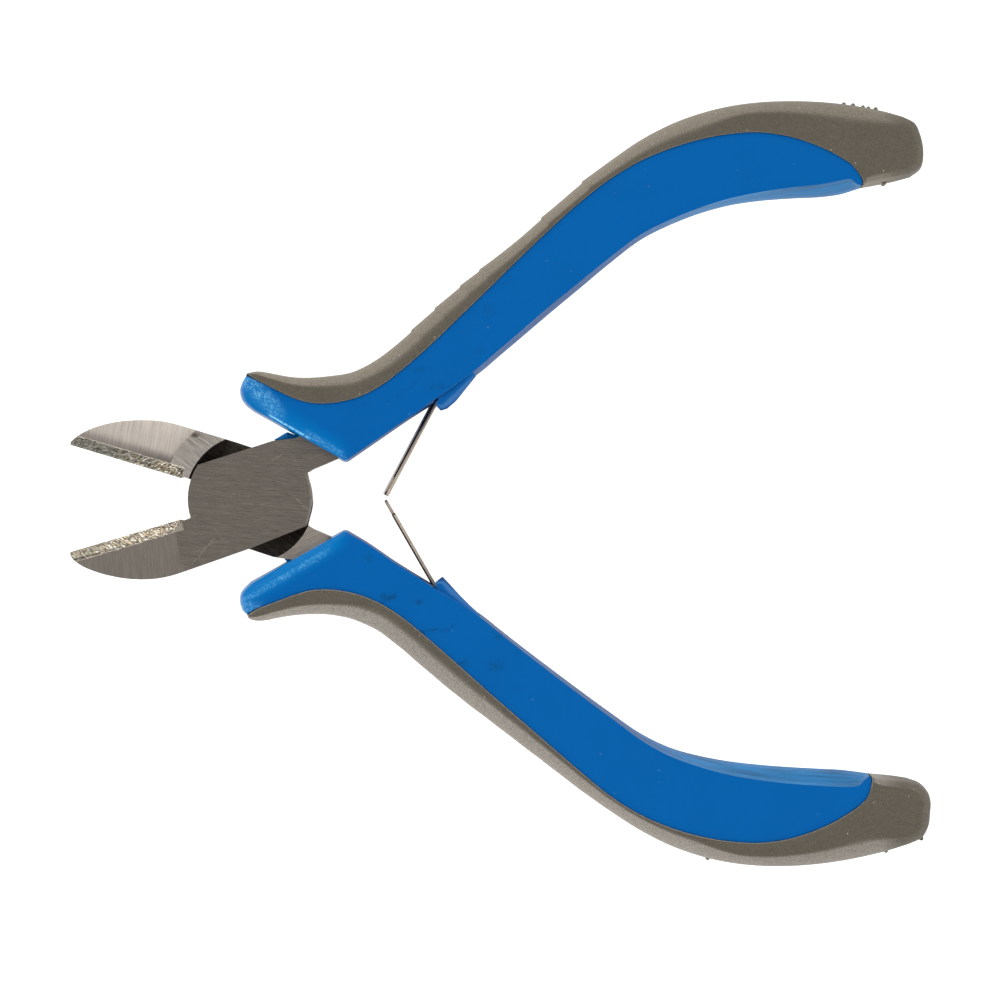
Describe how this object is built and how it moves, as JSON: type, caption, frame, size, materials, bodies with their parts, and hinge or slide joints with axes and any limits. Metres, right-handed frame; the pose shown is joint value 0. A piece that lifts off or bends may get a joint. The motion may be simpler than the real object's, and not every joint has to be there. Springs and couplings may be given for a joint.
{
  "type": "flush cut pliers",
  "caption": "Small spring-opened side cutting pliers with a lap joint, short bevelled jaws and curved hard plastic handles with soft grips, shown open.",
  "frame": {"origin": "pivot axis, on the flat rear face of the joint", "axes": "+X from the pivot to the handle ends along the line midway between the jaws, +Y to the side of the front half's handle, +Z along the pivot out of the front face of the joint"},
  "size_m": [0.1062, 0.0944, 0.0109],
  "materials": {
    "jaw_steel": "ground and brushed, warm grey, rougher on the bevels",
    "rivet_steel": "ground flush with the joint faces",
    "spring_steel": "bright rolled spring strip",
    "blue_plastic": "satin moulded blue plastic with a fine mottle",
    "grey_grip": "matte soft grip, grey-brown, fine grain"
  },
  "bodies": {
    "front_half": {"front_jaw_half": "jaw_steel", "pivot_rivet": "rivet_steel", "upper_handle_sleeve": "blue_plastic", "upper_handle_grip": "grey_grip"},
    "rear_half": {"rear_jaw_half": "jaw_steel", "lower_handle_sleeve": "blue_plastic", "lower_handle_grip": "grey_grip"},
    "upper_leaf": {"upper_leaf_spring": "spring_steel"},
    "lower_leaf": {"lower_leaf_spring": "spring_steel"}
  },
  "joints": [
    {"name": "jaw_pivot", "type": "hinge", "parent": "front_half", "child": "rear_half", "pos_m": [0, 0, 0.00375], "axis": [0, 0, 1], "range_deg": [0, 33], "stiffness_Nm_per_rad": 0.4},
    {"name": "upper_leaf_flex", "type": "hinge", "parent": "front_half", "child": "upper_leaf", "pos_m": [0.02275, 0.01204, 0.00375], "axis": [0, 0, 1], "range_deg": [-29.5, 0]},
    {"name": "lower_leaf_flex", "type": "hinge", "parent": "rear_half", "child": "lower_leaf", "pos_m": [0.02263, -0.0105, 0.00375], "axis": [0, 0, 1], "range_deg": [0, 29.5]}
  ],
  "couplings": [
    {"joint": "upper_leaf_flex", "follows": "jaw_pivot", "ratio": -0.88},
    {"joint": "lower_leaf_flex", "follows": "jaw_pivot", "ratio": 0.88}
  ]
}
